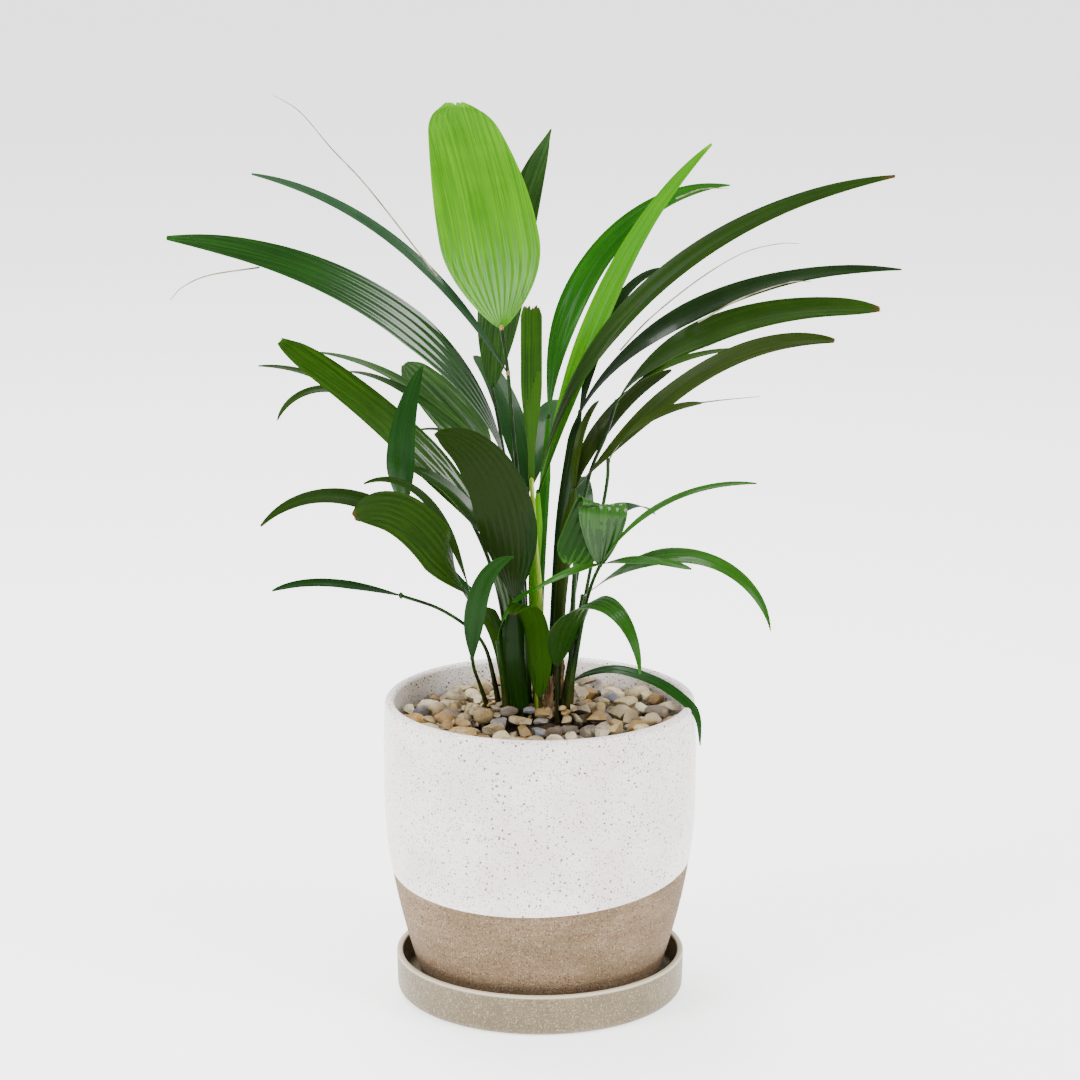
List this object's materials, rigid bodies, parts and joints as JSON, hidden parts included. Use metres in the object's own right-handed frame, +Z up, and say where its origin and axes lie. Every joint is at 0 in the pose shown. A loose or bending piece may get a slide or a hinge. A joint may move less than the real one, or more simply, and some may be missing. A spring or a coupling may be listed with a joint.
{
  "type": "potted lady palm",
  "caption": "Potted lady palm: arching pleated leaves on thin stalks rise from pebbles in a two-tone speckled stoneware pot on a saucer.",
  "frame": {"origin": "middle of the saucer's underside, on the pot's axis, at the surface it stands on", "axes": "+Z up along the pot's axis, -Y towards the front, where the lowest leaves lean out, +X to the right seen from the front"},
  "size_m": [0.3467, 0.1923, 0.4248],
  "materials": {
    "stoneware_glaze": "satin",
    "saucer_glaze": "satin",
    "soil": "matte",
    "gravel": "satin",
    "root_bark": "matte",
    "cane_fibre": "matte",
    "leaf": "satin"
  },
  "bodies": {
    "root": {"cane_back": "cane_fibre", "cane_front": "cane_fibre", "cane_left": "cane_fibre", "gravel": "gravel", "leaf_back": "leaf", "leaf_back_left": "leaf", "leaf_back_low": "leaf", "leaf_broad_front": "leaf", "leaf_broad_left": "leaf", "leaf_crest": "leaf", "leaf_curled": "leaf", "leaf_dark_right": "leaf", "leaf_folded": "leaf", "leaf_forked_left": "leaf", "leaf_front_left": "leaf", "leaf_grey": "leaf", "leaf_hooked": "leaf", "leaf_long_left": "leaf", "leaf_low_left": "leaf", "leaf_middle_right": "leaf", "leaf_olive_right": "leaf", "leaf_over_rim": "leaf", "leaf_reach_right": "leaf", "leaf_short": "leaf", "leaf_slim_right": "leaf", "leaf_spear": "leaf", "leaf_strap": "leaf", "leaf_top": "leaf", "leaf_top_back": "leaf", "leaf_upright_left": "leaf", "pot": "stoneware_glaze", "root_crown": "root_bark", "saucer": "saucer_glaze", "soil": "soil"}
  },
  "joints": []
}
